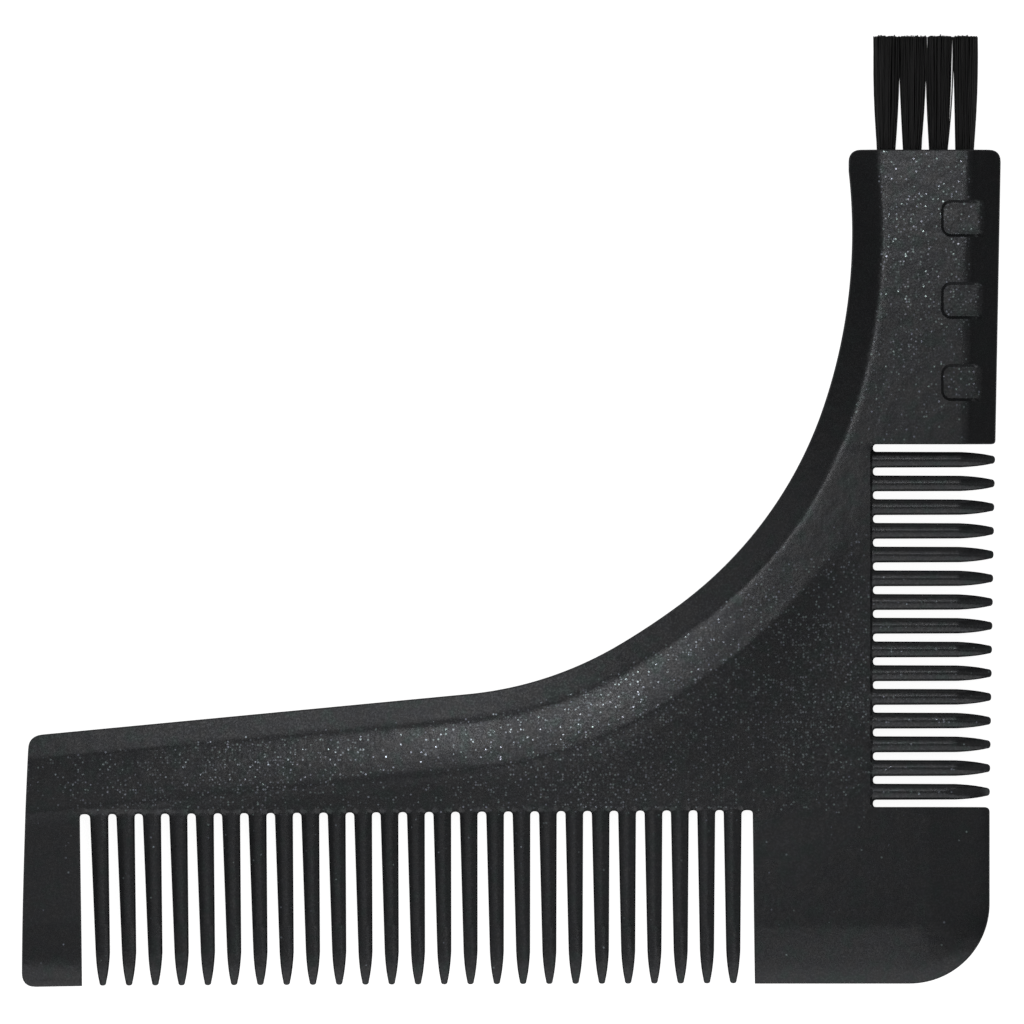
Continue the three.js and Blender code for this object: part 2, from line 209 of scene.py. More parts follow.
# The metal powder in it, as a fine grain.
POWDER_SCALE = 4000.0
POWDER_DETAIL = 1.0
POWDER_ROUGHNESS = 0.6
POWDER_SPAN = (0.38, 0.7)
POWDER_POWER = 1.5
POWDER_GLOSS_PLAIN = (0.5, 0.74)
POWDER_GLOSS_GATHERED = (0.42, 1.0)
POWDER_HUE_SCALE = 500.0
POWDER_LILAC_SPAN = (0.4, 0.6)
POWDER_GREEN_SPAN = (0.52, 0.66)
POWDER_LILAC = (0.92, 0.94, 1, 1)
POWDER_PALE = (0.98, 0.98, 1, 1)
POWDER_GREEN = (0.85, 1, 0.98, 1)

# The metal flakes in it.
SPECK_SCALE = 3200.0
SPECK_CORE = (0.5, 0.25)
SPECK_POWER = 2.0
SPECK_CHANCE = (0.004, 0.85)
SPECK_TILT = 0.08
SPECK_SHINE = 0.6
SPECK_ROUGHNESS = 0.75
SPECK_LILAC = (0.80, 0.76, 0.80, 1)
SPECK_BLUE = (0.66, 0.70, 0.88, 1)
SPECK_GREEN = (0.64, 0.80, 0.77, 1)
CELL_MIDDLE = (0.5, 0.5, 0.5)
FACE_TILT = (0.962, 0.99)

# Patches where the metal gathered: centre and radius of each, in millimetres.
CLOUDS = (
    ((-36.0, -27.0), 30.0),
    ((10.0, -24.0), 32.0),
    ((40.0, -22.0), 22.0),
    ((48.0, 32.0), 26.0),
)
CLOUD_PATCH_SCALE = 160.0
CLOUD_PATCHES = (0.6, 1.0)
CLOUD_FLOOR = (-38.2, -37.0)
CLOUD_BELOW_FLOOR = 0.1

# Nylon filaments and brass wire.
NYLON_STRETCH = (5000.0, 200.0, 5000.0)
NYLON_COLOURS = ((0.0015, 0.0015, 0.002, 1), (0.005, 0.0045, 0.005, 1))
NYLON_ROUGHNESS = (0.4, 0.55)
NYLON_RELIEF = 0.2
BRASS_STRETCH = (300.0, 9000.0, 9000.0)
BRASS_COLOURS = ((0.52, 0.38, 0.18, 1), (0.72, 0.56, 0.3, 1))
BRASS_ROUGHNESS = (0.25, 0.42)
BRASS_RELIEF = 0.3
LINE_HEIGHT = 0.00001

# Stage, in metres.
FLOOR_SIZE = 30.0
FLOOR_COLOURS = ((0.8, 0.8, 0.8, 1), (0.82, 0.82, 0.82, 1))
FLOOR_GRAIN_SCALE = 40.0
FLOOR_GLOW = 0.93
SKY_HORIZON = 0.6
SKY_ZENITH = 0.012
SKY_FADE = (0.4, 0.66)
SKY_DIM_SIDES = (0.7, 0.95)
SKY_DIM = 0.5
CAMERA_CENTRE = (0.09 * MM, -0.06 * MM)
CAMERA_DISTANCE = 2.0
CAMERA_CLIP_END = 100.0
VIEW_WIDTH = 0.128
SENSOR = 36.0

# Softboxes: name, place, aim, size and radiance.
SOFTBOXES = (
    ("overhead", (-0.042, -0.055, 0.3), (-0.042, -0.055, 0), (0.15, 0.11), 0.3),
    ("lamp", (0.001, 0.01, 0.3), (0.001, 0.01, 0), (0.028, 0.03), 10.0),
    ("lamp_top", (0.052, 0.078, 0.3), (0.052, 0.078, 0), (0.026, 0.036), 8.5),
    ("lamp_low", (0.055, -0.115, 0.3), (0.055, -0.115, 0), (0.05, 0.03), 1.4),
    ("streak", (-0.055, 0.055, 0.3), (-0.055, 0.055, 0), (0.06, 0.05), 0.5),
    ("back", (-0.02, 0.19, 0.3), (-0.01, -0.02, 0), (0.14, 0.12), 1.25),
    ("left", (-0.155, 0.15, 0.3), (0.02, -0.01, 0), (0.09, 0.07), 0.5),
    ("front", (0.0, -0.28, 0.26), (0, -0.04, 0), (0.5, 0.3), 0.7),
    ("side", (0.17, -0.02, 0.3), (0.05, -0.02, 0), (0.1, 0.16), 0.25),
)


class Teeth:
    """One row of teeth: sizes along the row and out to the tips, in millimetres."""

    def __init__(self, count, first_root, root_pitch, first_tip, tip_pitch, root_half,
                 knee_half, tip_half, tip_round, tip_taper, slot_radius, root_depth,
                 tip_depth):
        self.count = count
        self.first_root = first_root
        self.root_pitch = root_pitch
        self.first_tip = first_tip
        self.tip_pitch = tip_pitch
        self.root_half = root_half
        self.knee_half = knee_half
        self.tip_half = tip_half
        self.tip_round = tip_round
        self.tip_taper = tip_taper
        self.slot_radius = slot_radius
        self.root_depth = root_depth
        self.tip_depth = tip_depth

    def root(self, index):
        """Place of one tooth's root along the row."""
        return self.first_root + self.root_pitch * index

    def tip(self, index):
        """Place of one tooth's tip along the row."""
        return self.first_tip + self.tip_pitch * index

    def depths(self, index):
        """Depths of one tooth's root and tip."""
        share = index / (self.count - 1)
        root = self.root_depth[0] + (self.root_depth[1] - self.root_depth[0]) * share
        tip = self.tip_depth[0] + (self.tip_depth[1] - self.tip_depth[0]) * share
        return root, tip


COARSE = Teeth(
    count=25,
    first_root=-51.51,
    root_pitch=3.299,
    first_tip=-51.05,
    tip_pitch=3.283,
    root_half=1.1,
    knee_half=0.87,
    tip_half=0.42,
    tip_round=0.4,
    tip_taper=4.1,
    slot_radius=0.55,
    root_depth=(37.8, 37.3),
    tip_depth=(59.25, 58.95),
)
FINE = Teeth(
    count=15,
    first_root=-35.03,
    root_pitch=2.965,
    first_tip=-35.03,
    tip_pitch=2.965,
    root_half=0.99,
    knee_half=0.96,
    tip_half=0.52,
    tip_round=0.5,
    tip_taper=4.3,
    slot_radius=0.45,
    root_depth=(45.2, 45.2),
    tip_depth=(59.8, 60.45),
)


# ---------------------------------------------------------------- plane curves


def concave_edge():
    """Points and headings along the bend, from the straight arm to the handle's top."""
    x, y = BEND_START
    heading = ARM_HEADING
    points = [(x, y, heading)]
    for radius, sweep in BEND_ARCS:
        steps = math.ceil(math.radians(sweep) / BEND_STEP)
        turn = math.radians(sweep) / steps
        for _ in range(steps):
            x += radius * (math.sin(heading + turn) - math.sin(heading))
            y -= radius * (math.cos(heading + turn) - math.cos(heading))
            heading += turn
            points.append((x, y, heading))
    return points


def quadratic(start, control, end, steps=6):
    """Points after start on a quadratic curve."""
    points = []
    for step in range(1, steps + 1):
        t = step / steps
        a, b, c = (1 - t) ** 2, 2 * t * (1 - t), t ** 2
        points.append((
            a * start[0] + b * control[0] + c * end[0],
            a * start[1] + b * control[1] + c * end[1],
        ))
    return points


def level(x, y):
    """Points as they are."""
    return x, y


def downwards(along, depth):
    """Points of a row whose teeth point down."""
    return along, -depth


def rightwards(along, depth):
    """Points of a row whose teeth point right."""
    return depth, along


class Pen:
    """Collects an outline from lines and quadratic curves."""

    def __init__(self):
        self.points = []
        self.place = level

    def line(self, along, depth):
        """A straight line to a point."""
        self.points.append(self.place(along, depth))

    def curve(self, corner_along, corner_depth, along, depth, steps=6):
        """A curve towards a corner and on to a point."""
        control = self.place(corner_along, corner_depth)
        self.points += quadratic(self.points[-1], control, self.place(along, depth), steps)


def trace_teeth(pen, teeth, start, end):
    """Adds one row of teeth, with rounded slot ends, to the pen's outline."""

    def slot_end(left, right, depth):
        """The rounded end of the gap between two teeth."""
        middle = (left + right) / 2
        pen.line(left, depth + teeth.slot_radius)
        pen.curve(left, depth, middle, depth)
        pen.curve(right, depth, right, depth + teeth.slot_radius)

    slot_start = start
    for index in range(teeth.count):
        root, tip = teeth.root(index), teeth.tip(index)
        root_depth, tip_depth = teeth.depths(index)
        knee_depth = tip_depth - teeth.tip_taper
        slot_end(slot_start, root - teeth.root_half, root_depth)
        pen.line(tip - teeth.knee_half, knee_depth)
        swell = teeth.knee_half - TAPER_SWELL * (teeth.knee_half - teeth.tip_half)
        swell_depth = tip_depth - teeth.tip_taper * TAPER_MIDDLE
        pen.curve(tip - swell, swell_depth, tip - teeth.tip_half, tip_depth - teeth.tip_round)
        pen.curve(tip - teeth.tip_half, tip_depth, tip, tip_depth)
        pen.curve(tip + teeth.tip_half, tip_depth,
                  tip + teeth.tip_half, tip_depth - teeth.tip_round)
        pen.curve(tip + swell, swell_depth, tip + teeth.knee_half, knee_depth)
        slot_start = root + teeth.root_half
    slot_end(slot_start, end, teeth.root_depth[1])


def block_corner(steps=28):
    """Points round the block's outer corner, from the bottom edge to the right edge."""
    centre = (BLOCK_RIGHT_X - BLOCK_RADIUS, BLOCK_BOTTOM_Y + BLOCK_RADIUS)
    points = []
    for step in range(steps + 1):
        angle = -math.pi / 2 + math.pi / 2 * step / steps
        points.append((
            centre[0] + BLOCK_RADIUS * math.cos(angle),
            centre[1] + BLOCK_RADIUS * math.sin(angle),
        ))
    return points


def trace_block(pen):
    """Adds the corner block, from its bottom left to its top right."""
    pen.line(BLOCK_LEFT_X, BLOCK_BOTTOM_Y)
    pen.points += block_corner()
    pen.line(BLOCK_RIGHT_X, BLOCK_TOP_Y - BLOCK_TOP_RADIUS)
    pen.curve(BLOCK_RIGHT_X, BLOCK_TOP_Y, BLOCK_RIGHT_X - BLOCK_TOP_RADIUS, BLOCK_TOP_Y)


def trace_handle(pen):
    """Adds the handle's right side and top, and the concave edge back to the arm."""
    pen.line(HANDLE_RIGHT_BOTTOM_X - HANDLE_BOTTOM_RADIUS, HANDLE_BOTTOM_Y)
    pen.curve(HANDLE_RIGHT_BOTTOM_X, HANDLE_BOTTOM_Y,
              HANDLE_RIGHT_BOTTOM_X, HANDLE_BOTTOM_Y + HANDLE_BOTTOM_RADIUS)
    pen.line(HANDLE_RIGHT_TOP_X, HANDLE_TOP_Y - HANDLE_TOP_RADIUS)
    pen.curve(HANDLE_RIGHT_TOP_X, HANDLE_TOP_Y,
              HANDLE_RIGHT_TOP_X - HANDLE_TOP_RADIUS, HANDLE_TOP_Y)
    edge = concave_edge()[::-1]
    corner_x = edge[0][0]
    pen.line(corner_x + HANDLE_TOP_RADIUS, HANDLE_TOP_Y)
    pen.curve(corner_x, HANDLE_TOP_Y, corner_x, HANDLE_TOP_Y - HANDLE_TOP_RADIUS)
    pen.points += [(x, y) for x, y, _ in edge]


def trace_guard(pen):
    """Adds the arm's left end, down to the guard's bottom edge."""
    arm_y = GUARD_TOP_LEFT[1] + GUARD_RADIUS * math.tan(ARM_HEADING)
    pen.line(GUARD_TOP_LEFT[0] + GUARD_RADIUS, arm_y)
    pen.curve(*GUARD_TOP_LEFT, GUARD_TOP_LEFT[0], GUARD_TOP_LEFT[1] - GUARD_RADIUS)
    pen.curve(*GUARD_BULGE, GUARD_BOTTOM_LEFT[0], GUARD_BOTTOM_LEFT[1] + GUARD_RADIUS,
              GUARD_BULGE_STEPS)
    pen.curve(*GUARD_BOTTOM_LEFT, GUARD_BOTTOM_LEFT[0] + GUARD_RADIUS, GUARD_BOTTOM_LEFT[1])


def comb_outline():
    """The comb's outline, anticlockwise from the guard's bottom edge."""
    pen = Pen()
    pen.line(GUARD_BOTTOM_LEFT[0] + GUARD_RADIUS, GUARD_BOTTOM_LEFT[1])
    pen.line(*GUARD_BOTTOM_RIGHT)
    pen.place = downwards
    trace_teeth(pen, COARSE, GUARD_SLOT_X, BLOCK_SLOT_X)
    pen.place = level
    trace_block(pen)
    pen.place = rightwards
    trace_teeth(pen, FINE, BLOCK_TOP_Y, HANDLE_BOTTOM_Y)
    pen.place = level
    trace_handle(pen)
    trace_guard(pen)
    return without_repeats(pen.points)


def without_repeats(points, gap=1e-4):
    """The closed outline with coinciding neighbours dropped."""
    kept = []
    for point in points:
        if not kept or math.dist(point, kept[-1]) > gap:
            kept.append(point)
    if math.dist(kept[0], kept[-1]) <= gap:
        kept.pop()
    return kept


def inset(points, distance):
    """The anticlockwise outline moved inwards by a small distance."""
    moved = []
    for index, point in enumerate(points):
        before = Vector(points[index - 1])
        here = Vector(point)
        after = Vector(points[(index + 1) % len(points)])
        first = (here - before).normalized()
        second = (after - here).normalized()
        normal = Vector((-first.y - second.y, first.x + second.x)).normalized()
        cosine = max(INSET_LEAST_COSINE, normal.dot(Vector((-first.y, first.x))))
        moved.append(tuple(here + normal * (distance / cosine)))
    return moved


# ---------------------------------------------------------------- relief


def distance_to_path(points, path):
    """Distance from each point to a polyline, and the fraction of index along it."""
    starts = np.array(path[:-1])
    ends = np.array(path[1:])
    steps = ends - starts
    lengths = (steps ** 2).sum(1)
    best = np.full(len(points), np.inf)
    place = np.zeros(len(points))
    for index in range(len(starts)):
        offset = points - starts[index]
        t = np.clip((offset @ steps[index]) / lengths[index], 0, 1)
        gap = offset - t[:, None] * steps[index]
        distance = np.hypot(gap[:, 0], gap[:, 1])
        closer = distance < best
        best[closer] = distance[closer]
        place[closer] = index + t[closer]
    return best, place


def soft_min(first, second, width):
    """The smaller of two heights, rounded over where they cross."""
    blend = np.clip(0.5 + 0.5 * (second - first) / width, 0, 1)
    return second * (1 - blend) + first * blend - width * blend * (1 - blend)


def smoothstep(value, low, high):
    """0 below low, 1 above high, and a smooth rise between them."""
    t = np.clip((value - low) / (high - low), 0, 1)
    return t * t * (3 - 2 * t)


def spine_path():
    """The concave edge with the straight arm before it, and its headings."""
    edge = concave_edge()
    start = (edge[0][0] - ARM_REACH, edge[0][1] - ARM_REACH * math.tan(ARM_HEADING))
    top = (edge[-1][0], HANDLE_TOP_Y + HANDLE_OVERRUN)
    path = [start, *[(x, y) for x, y, _ in edge], top]
    headings = [edge[0][2], *[heading for _, _, heading in edge], edge[-1][2]]
    return path, headings


def bottom_path():
    """Bottom edge of the whole comb, round the block's corner and up its right edge."""
    start = (GUARD_BOTTOM_LEFT[0] - BOTTOM_LEFT_OVERRUN, BLOCK_BOTTOM_Y)
    end = (BLOCK_RIGHT_X, BLOCK_TOP_Y + BLOCK_TOP_OVERRUN)
    return [start, *block_corner(), end]


def bevel_width(place, heading):
    """Width of the concave edge's bevel, from its place along the edge and its heading."""
    grown = (HANDLE_LEFT_BEVEL - BEND_BEVEL) * smoothstep(heading, *BEVEL_GROWTH)
    return BEND_BEVEL + grown + (ARM_END_BEVEL - BEND_BEVEL) * np.clip(1 - place, 0, 1)


def spine_height(points):
    """Outer bevel, spine band and cove, from the distance to the concave edge."""
    path, headings = spine_path()
    distance, place = distance_to_path(points, path)
    heading = np.interp(place, range(len(headings)), headings)
    width = bevel_width(place, heading)
    spine_fade = 1 - smoothstep(heading, *SPINE_FADE)
    bevel = EDGE_HALF + (HALF - EDGE_HALF) * distance / width
    bevel -= SPINE_DROP * spine_fade * np.clip(distance / width, 0, 1)

    bend = smoothstep(heading, *COVE_GROWTH)
    length = COVE_LENGTH + (COVE_LENGTH_BEND - COVE_LENGTH) * bend
    past = np.clip(distance - SPINE_WIDTH, 0, None)
    fade = 1 - smoothstep(heading, *COVE_FADE)
    cove = (HALF - PLATE_HALF) * (1 - np.exp(-past / length)) * fade
    before_crest = np.clip((SPINE_WIDTH - distance) / (SPINE_WIDTH - width), 0, 1)
    lean = SPINE_DROP * before_crest ** SPINE_LEAN_POWER * spine_fade
    return soft_min(bevel, HALF - lean - cove, CREASE_ROUND)


def bottom_bevel_height(points):
    """Bevel along the bottom, the corner and the block's right edge."""
    distance, _ = distance_to_path(points, bottom_path())
    inside = np.clip(1 - distance / BOTTOM_BEVEL, 0, None)
    drop = BOTTOM_CREASE_DROP * inside + BOTTOM_EDGE_DROP * inside ** BOTTOM_EDGE_POWER
    return np.where(inside > 0, PLATE_HALF - drop, HALF)


def handle_bevel_height(points):
    """Bevel down the handle's right side."""
    x, y = points[:, 0], points[:, 1]
    share = (y - HANDLE_BOTTOM_Y) / (HANDLE_TOP_Y - HANDLE_BOTTOM_Y)
    edge = HANDLE_RIGHT_BOTTOM_X + (HANDLE_RIGHT_TOP_X - HANDLE_RIGHT_BOTTOM_X) * share
    height = RIGHT_EDGE_HALF + (HALF - RIGHT_EDGE_HALF) * (edge - x) / RIGHT_BEVEL
    return np.where(y > HANDLE_BOTTOM_Y - RIGHT_BEVEL_MARGIN, height, HALF)


def fine_tooth_height(points):
    """Step down at the fine teeth's roots, then a ridge along each tooth's middle."""
    x, y = points[:, 0], points[:, 1]
    root = FINE.root_depth[0]
    nearest = np.round((y - FINE.first_root) / FINE.root_pitch)
    across = np.abs(y - FINE.first_root - FINE.root_pitch * nearest) / FINE.root_half
    share = nearest / (FINE.count - 1)
    tip = FINE.tip_depth[0] + (FINE.tip_depth[1] - FINE.tip_depth[0]) * share
    taper = np.clip((x - tip + FINE.tip_taper) / FINE.tip_taper, 0, 1)
    ridge = FINE_RIDGE_HALF + (FINE_TIP_HALF - FINE_RIDGE_HALF) * taper
    drop = FINE_FLANK_DROP * (1 - FINE_TIP_FLATTENING * taper)
    tooth = ridge - drop * (np.hypot(across, FINE_RIDGE_ROUND) - FINE_RIDGE_ROUND)
    start = root - FINE_STEP_START
    step = np.clip((x - start) / FINE_STEP_LENGTH, 0, 1)
    height = HALF + (tooth - HALF) * step
    low, high = BLOCK_TOP_Y + FINE_ROW_MARGIN, HANDLE_BOTTOM_Y - FINE_ROW_MARGIN
    in_row = (x > start) & (y < high) & (y > low)
    return np.where(in_row, height, HALF)


def coarse_root_depth(x):
    """Depth of the coarse teeth's roots below the origin, across the row."""
    row = COARSE.root_pitch * (COARSE.count - 1)
    share = np.clip((x - COARSE.first_root) / row, 0, 1)
    return COARSE.root_depth[0] + (COARSE.root_depth[1] - COARSE.root_depth[0]) * share


def coarse_tooth_drop(points):
    """How far the coarse teeth lie below the arm: a small step, and a low crown."""
    x, depth = points[:, 0], -points[:, 1]
    share = np.clip((depth - COARSE.root_depth[0]) / COARSE_LENGTH, 0, 1)
    first = COARSE.first_root + (COARSE.first_tip - COARSE.first_root) * share
    pitch = COARSE.root_pitch + (COARSE.tip_pitch - COARSE.root_pitch) * share
    nearest = np.round((x - first) / pitch)
    across = np.clip(np.abs(x - first - pitch * nearest) / COARSE.root_half, 0, 1)
    past = depth - coarse_root_depth(x) + COARSE_STEP_START
    in_row = (past > 0) & (nearest >= 0) & (nearest < COARSE.count)
    start = np.clip(past / COARSE_STEP_LENGTH, 0, 1)
    drop = COARSE_STEP_DROP + COARSE_CROWN * across ** 2
    return np.where(in_row, drop * start, 0)


def pocket_distance(points, centre_y):
    """Distance outside a pocket's floor, negative inside it; the right end is open."""
    half_length = HANDLE_RIGHT_TOP_X - POCKET_LEFT_X
    x = np.abs(points[:, 0] - POCKET_LEFT_X - half_length) - half_length + POCKET_RADIUS
    y = np.abs(points[:, 1] - centre_y) - POCKET_HEIGHT / 2 + POCKET_RADIUS
    outside = np.hypot(np.clip(x, 0, None), np.clip(y, 0, None))
    return outside + np.minimum(np.maximum(x, y), 0) - POCKET_RADIUS


def pocket_height(points):
    """Flat floors of the finger-grip pockets, with steep walls round them."""
    floor = HALF - POCKET_DEPTH
    height = np.full(len(points), HALF)
    for centre_y in POCKET_CENTRES_Y:
        outside = np.clip(pocket_distance(points, centre_y), 0, POCKET_WALL)
        height = np.minimum(height, floor + POCKET_DEPTH * outside / POCKET_WALL)
    return height


def half_thickness(points):
    """Height of the comb's face above its mid-plane at each point."""
    points = np.array(points)
    height = spine_height(points)
    height = np.minimum(height, bottom_bevel_height(points))
    height = soft_min(height, handle_bevel_height(points), CREASE_ROUND)
    height = np.minimum(height, fine_tooth_height(points))
    height = np.minimum(height, pocket_height(points))
    return height - coarse_tooth_drop(points)


# ---------------------------------------------------------------- creases


def spine_creases():
    """Lines where the concave edge's bevel meets the spine, and the spine the cove."""
    path, headings = spine_path()
    bevels = [float(bevel_width(place, heading)) for place, heading in enumerate(headings)]
    lines = []
    for widths in (bevels, [SPINE_WIDTH] * len(path)):
        line = []
        for (x, y), heading, width in list(zip(path, headings, widths))[1:-1]:
            line.append((x + math.sin(heading) * width, y - math.cos(heading) * width))
        lines.append(line)
    return lines


def fine_tooth_creases():
    """Lines across the fine row at its step, and along each tooth's ridge."""
    start = FINE.root_depth[0] - FINE_STEP_START
    lines = []
    for x in (start, start + FINE_STEP_LENGTH):
        lines.append([(x, BLOCK_TOP_Y), (x, HANDLE_BOTTOM_Y)])
    for index in range(FINE.count):
        middle = FINE.root(index)
        tip = FINE.depths(index)[1] - FINE_RIDGE_END
        for offset in FINE_RIDGE_LINES:
            lines.append([(FINE.root_depth[0], middle + offset), (tip, middle + offset)])
    return lines


def coarse_tooth_creases():
    """Lines across the coarse row at its step, and along each tooth's crown."""
    half_pitch = COARSE.root_pitch / 2
    ends = (COARSE.root(0) - half_pitch, COARSE.root(COARSE.count - 1) + half_pitch)
    lines = []
    for rise in (COARSE_STEP_START, COARSE_STEP_START - COARSE_STEP_LENGTH):
        lines.append([(x, rise - coarse_root_depth(x)) for x in ends])
    for index in range(COARSE.count):
        root, tip = COARSE.depths(index)
        for offset in COARSE_CROWN_LINES:
            top = (COARSE.root(index) + offset, -root)
            low = (COARSE.tip(index) + offset * COARSE_LINE_CLOSING, -tip + COARSE.tip_taper)
            lines.append([top, low])
    return lines


def pocket_ring(centre_y, grow):
    """Outline of one finger-grip pocket, rounded at its left end."""
    radius = POCKET_RADIUS + grow
    inner_x = POCKET_LEFT_X + POCKET_RADIUS
    rise = POCKET_HEIGHT / 2 - POCKET_RADIUS
    points = [(HANDLE_RIGHT_TOP_X, centre_y + rise + radius)]
    for quarter in (1, 2):
        side = rise if quarter == 1 else -rise
        for step in range(POCKET_CORNER_STEPS + 1):
            angle = math.pi / 2 * (quarter + step / POCKET_CORNER_STEPS)
            points.append((
                inner_x + radius * math.cos(angle),
                centre_y + side + radius * math.sin(angle),
            ))
    points.append((HANDLE_RIGHT_TOP_X, centre_y - rise - radius))
    return points


def crease_lines():
    """Polylines along the relief's creases, so that the mesh's edges follow them."""
    pockets = [pocket_ring(y, grow) for y in POCKET_CENTRES_Y for grow in POCKET_RINGS]
    return spine_creases() + fine_tooth_creases() + coarse_tooth_creases() + pockets


# ---------------------------------------------------------------- meshes


def points_between(start, end, step):
    """Points on a straight line, about step apart."""
    count = max(1, round(math.dist(start, end) / step))
    return [(
        start[0] + (end[0] - start[0]) * k / count,
        start[1] + (end[1] - start[1]) * k / count,
    ) for k in range(count + 1)]


def refine(outline, step):
    """The outline with its long sides divided."""
    points = []
    for index, start in enumerate(outline):
        end = outline[(index + 1) % len(outline)]
        points += points_between(start, end, step)[:-1]
    return points


def inside_polygon(points, polygon):
    """Even-odd test of each point against a closed polygon."""
    inside = np.zeros(len(points), dtype=bool)
    x, y = points[:, 0], points[:, 1]
    for (x0, y0), (x1, y1) in zip(polygon, [*polygon[1:], polygon[0]]):
        if y0 == y1:
            continue
        crosses = (y0 > y) != (y1 > y)
        inside ^= crosses & (x < (x1 - x0) * (y - y0) / (y1 - y0) + x0)
    return inside


def inner_points(ring):
    """A staggered grid over the comb, clear of its outline."""
    rows = np.arange(BLOCK_BOTTOM_Y - GRID_MARGIN, HANDLE_TOP_Y + GRID_MARGIN,
                     GRID * GRID_ROW_RATIO)
    left, right = GUARD_BOTTOM_LEFT[0] - GRID_MARGIN, HANDLE_RIGHT_TOP_X + GRID_MARGIN
    points = []
    for row, y in enumerate(rows):
        shift = GRID / 2 if row % 2 else 0
        points += [(x, y) for x in np.arange(left + shift, right, GRID)]
    points = np.array(points)
    points = points[inside_polygon(points, ring)]
    distance, _ = distance_to_path(points, [*ring, ring[0]])
    return [tuple(point) for point in points[distance > GRID * GRID_CLEARANCE]]


def face_triangles(ring):
    """Points and triangles over one face of the comb, and where ring's points are in them."""
    count = len(ring)
    points = [*ring, *inner_points(ring)]
    edges = [(k, (k + 1) % count) for k in range(count)]
    for line in crease_lines():
        fine = []
        for start, end in zip(line, line[1:]):
            fine += points_between(start, end, CREASE_STEP)[:-1]
        fine.append(line[-1])
        inside = inside_polygon(np.array(fine), ring)
        first = len(points)
        points += fine
        edges += [
            (first + k, first + k + 1)
            for k in range(len(fine) - 1)
            if inside[k] and inside[k + 1]
        ]
    made = delaunay_2d_cdt([Vector(p) for p in points], edges, [list(range(count))],
                           ONLY_INSIDE, DELAUNAY_GAP)
    ring_places = {}
    for index, sources in enumerate(made[3]):
        for source in sources:
            if source < count:
                ring_places[source] = index
    return [tuple(v) for v in made[0]], [tuple(f) for f in made[2]], ring_places


def link(name, data):
    """A new object in the scene."""
    made = bpy.data.objects.new(name, data)
    bpy.context.scene.collection.objects.link(made)
    return made


def finished_mesh(bm, name):
    """The mesh that bm built up. bm is freed."""
    mesh = bpy.data.meshes.new(name)
    bm.to_mesh(mesh)
    bm.free()
    return mesh


def smooth(mesh, sharp_angle):
    """Shades a mesh smooth, apart from edges sharper than an angle."""
    for polygon in mesh.polygons:
        polygon.use_smooth = True
    mesh.set_sharp_from_angle(angle=sharp_angle)


def band(bm, first, second):
    """Adds a closed band of quads between two rings of vertices."""
    count = len(first)
    for k in range(count):
        after = (k + 1) % count
        bm.faces.new([first[k], first[after], second[after], second[k]])


def circle(bm, centre, radius, sides):
    """Adds a ring of vertices round an axis along Y, in millimetres."""
    x, y, z = centre
    ring = []
    for k in range(sides):
        angle = 2 * math.pi * k / sides
        ring.append(bm.verts.new((
            (x + radius * math.cos(angle)) * MM,
            y * MM,
            (z + radius * math.sin(angle)) * MM,
        )))
    return ring


def tube(bm, path, radius, sides):
    """Adds a closed tube along a path that runs mostly along Y, in millimetres."""
    rings = [circle(bm, centre, radius, sides) for centre in path]
    for lower, upper in zip(rings, rings[1:]):
        band(bm, upper, lower)
    bm.faces.new(rings[0])
    bm.faces.new(rings[-1][::-1])


def moulding_mesh():
    """The comb's one-piece moulding as a closed mesh, before its tuft holes are cut."""
    outline = refine(comb_outline(), GRID)
    points, triangles, ring_places = face_triangles(inset(outline, EDGE_CHAMFER))
    heights = half_thickness(points)
    edge_heights = half_thickness(outline)
    bm = bmesh.new()

    def vertex(point, height):
        return bm.verts.new((point[0] * MM, point[1] * MM, (MID_Z + height) * MM))

    def half(side):
        """Adds the front, side 1, or the back, side -1, and gives its outer ring."""
        face = [vertex(p, side * h) for p, h in zip(points, heights)]
        rim = [vertex(p, side * (h - EDGE_CHAMFER)) for p, h in zip(outline, edge_heights)]
        inner = [face[ring_places[k]] for k in range(len(outline))]
        for triangle in triangles:
            bm.faces.new([face[k] for k in triangle[::side]])
        band(bm, *(rim, inner)[::side])
        return rim

    upper = half(1)
    lower = half(-1)
    band(bm, lower, upper)
    bmesh.ops.remove_doubles(bm, verts=bm.verts, dist=MERGE_GAP)
    bmesh.ops.recalc_face_normals(bm, faces=bm.faces)
    return finished_mesh(bm, "moulding")


def hole_cutter():
    """The tuft holes, as one cutting object."""
    bm = bmesh.new()
    for x in TUFT_XS:
        bottom = (x, HANDLE_TOP_Y - HOLE_DEPTH, MID_Z)
        mouth = (x, HANDLE_TOP_Y + HOLE_OVERRUN, MID_Z)
        tube(bm, (bottom, mouth), HOLE_RADIUS, HOLE_SIDES)
    bmesh.ops.recalc_face_normals(bm, faces=bm.faces)
    return link("cutters", finished_mesh(bm, "cutters"))


def moulding():
    """The moulding, with its tuft holes cut."""
    piece = link("moulding", moulding_mesh())
    cutters = hole_cutter()
    cut = piece.modifiers.new("tuft_holes", "BOOLEAN")
    cut.operation = "DIFFERENCE"
    cut.solver = "EXACT"
    cut.object = cutters
    bpy.context.view_layer.update()
    shown = piece.evaluated_get(bpy.context.evaluated_depsgraph_get())
    finished = bpy.data.meshes.new_from_object(shown)
    piece.modifiers.clear()
    piece.data = finished
    bpy.data.objects.remove(cutters)
    smooth(finished, MOULDING_SHARP)
    return piece


